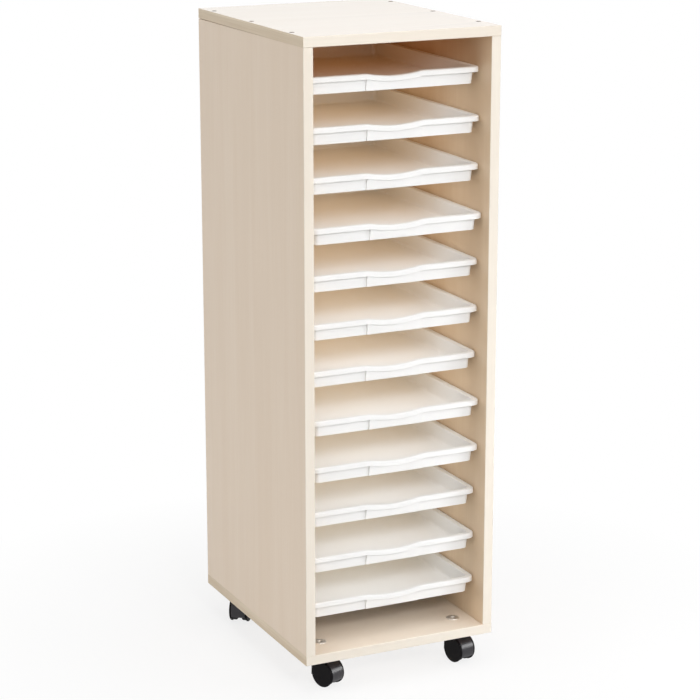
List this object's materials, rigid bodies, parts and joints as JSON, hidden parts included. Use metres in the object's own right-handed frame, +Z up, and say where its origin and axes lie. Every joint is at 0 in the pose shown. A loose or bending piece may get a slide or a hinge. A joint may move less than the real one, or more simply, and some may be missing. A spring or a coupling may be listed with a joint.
{
  "type": "classroom tray storage unit",
  "caption": "Tall open-fronted cabinet in pale faced board, with shallow white moulded trays that slide on side runners, on swivelling twin-wheel castors.",
  "frame": {"origin": "middle of the cabinet's footprint, on the floor that the castors stand on", "axes": "+Z up, +X to the right as seen from the open front, -Y out of the open front"},
  "size_m": [0.371, 0.46, 1.165],
  "materials": {
    "board": "satin maple facing",
    "runner": "plain hardwood",
    "tray": "smooth moulded",
    "hood": "smooth moulded",
    "wheel": "matt moulded",
    "steel": "plated"
  },
  "bodies": {
    "cabinet": {"top_panel": "board", "bottom_panel": "board", "left_side_panel": "board", "right_side_panel": "board", "back_panel": "board", "runner_left_01": "runner", "runner_right_01": "runner", "runner_left_02": "runner", "runner_right_02": "runner", "runner_left_03": "runner", "runner_right_03": "runner", "runner_left_04": "runner", "runner_right_04": "runner", "runner_left_05": "runner", "runner_right_05": "runner", "runner_left_06": "runner", "runner_right_06": "runner", "runner_left_07": "runner", "runner_right_07": "runner", "runner_left_08": "runner", "runner_right_08": "runner", "runner_left_09": "runner", "runner_right_09": "runner", "runner_left_10": "runner", "runner_right_10": "runner", "runner_left_11": "runner", "runner_right_11": "runner", "runner_left_12": "runner", "runner_right_12": "runner", "castor_stem_front_left": "steel", "castor_stem_front_right": "steel", "castor_stem_back_left": "steel", "castor_stem_back_right": "steel"},
    "tray_01_body": {"tray_01": "tray"},
    "tray_02_body": {"tray_02": "tray"},
    "tray_03_body": {"tray_03": "tray"},
    "tray_04_body": {"tray_04": "tray"},
    "tray_05_body": {"tray_05": "tray"},
    "tray_06_body": {"tray_06": "tray"},
    "tray_07_body": {"tray_07": "tray"},
    "tray_08_body": {"tray_08": "tray"},
    "tray_09_body": {"tray_09": "tray"},
    "tray_10_body": {"tray_10": "tray"},
    "tray_11_body": {"tray_11": "tray"},
    "tray_12_body": {"tray_12": "tray"},
    "castor_front_left_swivel_body": {"castor_hood_front_left": "hood"},
    "castor_front_left_left_wheel_body": {"castor_wheel_left_front_left": "wheel"},
    "castor_front_left_right_wheel_body": {"castor_wheel_right_front_left": "wheel"},
    "castor_front_right_swivel_body": {"castor_hood_front_right": "hood"},
    "castor_front_right_left_wheel_body": {"castor_wheel_left_front_right": "wheel"},
    "castor_front_right_right_wheel_body": {"castor_wheel_right_front_right": "wheel"},
    "castor_back_left_swivel_body": {"castor_hood_back_left": "hood"},
    "castor_back_left_left_wheel_body": {"castor_wheel_left_back_left": "wheel"},
    "castor_back_left_right_wheel_body": {"castor_wheel_right_back_left": "wheel"},
    "castor_back_right_swivel_body": {"castor_hood_back_right": "hood"},
    "castor_back_right_left_wheel_body": {"castor_wheel_left_back_right": "wheel"},
    "castor_back_right_right_wheel_body": {"castor_wheel_right_back_right": "wheel"}
  },
  "joints": [
    {"name": "tray_01_slide", "type": "slide", "parent": "cabinet", "child": "tray_01_body", "axis": [0, -1, 0], "range_m": [-0.002, 0.298]},
    {"name": "tray_02_slide", "type": "slide", "parent": "cabinet", "child": "tray_02_body", "axis": [0, -1, 0], "range_m": [-0.006, 0.294]},
    {"name": "tray_03_slide", "type": "slide", "parent": "cabinet", "child": "tray_03_body", "axis": [0, -1, 0], "range_m": [-0.005, 0.295]},
    {"name": "tray_04_slide", "type": "slide", "parent": "cabinet", "child": "tray_04_body", "axis": [0, -1, 0], "range_m": [-0.018, 0.282]},
    {"name": "tray_05_slide", "type": "slide", "parent": "cabinet", "child": "tray_05_body", "axis": [0, -1, 0], "range_m": [-0.006, 0.294]},
    {"name": "tray_06_slide", "type": "slide", "parent": "cabinet", "child": "tray_06_body", "axis": [0, -1, 0], "range_m": [-0.008, 0.292]},
    {"name": "tray_07_slide", "type": "slide", "parent": "cabinet", "child": "tray_07_body", "axis": [0, -1, 0], "range_m": [-0.003, 0.297]},
    {"name": "tray_08_slide", "type": "slide", "parent": "cabinet", "child": "tray_08_body", "axis": [0, -1, 0], "range_m": [-0.017, 0.283]},
    {"name": "tray_09_slide", "type": "slide", "parent": "cabinet", "child": "tray_09_body", "axis": [0, -1, 0], "range_m": [-0.017, 0.283]},
    {"name": "tray_10_slide", "type": "slide", "parent": "cabinet", "child": "tray_10_body", "axis": [0, -1, 0], "range_m": [-0.005, 0.295]},
    {"name": "tray_11_slide", "type": "slide", "parent": "cabinet", "child": "tray_11_body", "axis": [0, -1, 0], "range_m": [-0.006, 0.294]},
    {"name": "tray_12_slide", "type": "slide", "parent": "cabinet", "child": "tray_12_body", "axis": [0, -1, 0], "range_m": [-0.005, 0.295]},
    {"name": "castor_front_left_swivel", "type": "hinge", "parent": "cabinet", "child": "castor_front_left_swivel_body", "pos_m": [-0.1345, -0.175, 0.024], "axis": [0, 0, 1], "continuous": true},
    {"name": "castor_front_left_left_wheel_spin", "type": "hinge", "parent": "castor_front_left_swivel_body", "child": "castor_front_left_left_wheel_body", "pos_m": [-0.12701, -0.19354, 0.024], "axis": [0.9272, 0.3746, 0], "continuous": true},
    {"name": "castor_front_left_right_wheel_spin", "type": "hinge", "parent": "castor_front_left_swivel_body", "child": "castor_front_left_right_wheel_body", "pos_m": [-0.12701, -0.19354, 0.024], "axis": [0.9272, 0.3746, 0], "continuous": true},
    {"name": "castor_front_right_swivel", "type": "hinge", "parent": "cabinet", "child": "castor_front_right_swivel_body", "pos_m": [0.1345, -0.175, 0.024], "axis": [0, 0, 1], "continuous": true},
    {"name": "castor_front_right_left_wheel_spin", "type": "hinge", "parent": "castor_front_right_swivel_body", "child": "castor_front_right_left_wheel_body", "pos_m": [0.13866, -0.19456, 0.024], "axis": [0.9781, 0.2079, 0], "continuous": true},
    {"name": "castor_front_right_right_wheel_spin", "type": "hinge", "parent": "castor_front_right_swivel_body", "child": "castor_front_right_right_wheel_body", "pos_m": [0.13866, -0.19456, 0.024], "axis": [0.9781, 0.2079, 0], "continuous": true},
    {"name": "castor_back_left_swivel", "type": "hinge", "parent": "cabinet", "child": "castor_back_left_swivel_body", "pos_m": [-0.1345, 0.175, 0.024], "axis": [0, 0, 1], "continuous": true},
    {"name": "castor_back_left_left_wheel_spin", "type": "hinge", "parent": "castor_back_left_swivel_body", "child": "castor_back_left_left_wheel_body", "pos_m": [-0.14681, 0.15924, 0.024], "axis": [0.788, -0.6157, 0], "continuous": true},
    {"name": "castor_back_left_right_wheel_spin", "type": "hinge", "parent": "castor_back_left_swivel_body", "child": "castor_back_left_right_wheel_body", "pos_m": [-0.14681, 0.15924, 0.024], "axis": [0.788, -0.6157, 0], "continuous": true},
    {"name": "castor_back_right_swivel", "type": "hinge", "parent": "cabinet", "child": "castor_back_right_swivel_body", "pos_m": [0.1345, 0.175, 0.024], "axis": [0, 0, 1], "continuous": true},
    {"name": "castor_back_right_left_wheel_spin", "type": "hinge", "parent": "castor_back_right_swivel_body", "child": "castor_back_right_left_wheel_body", "pos_m": [0.13968, 0.15568, 0.024], "axis": [0.9659, 0.2588, 0], "continuous": true},
    {"name": "castor_back_right_right_wheel_spin", "type": "hinge", "parent": "castor_back_right_swivel_body", "child": "castor_back_right_right_wheel_body", "pos_m": [0.13968, 0.15568, 0.024], "axis": [0.9659, 0.2588, 0], "continuous": true}
  ]
}
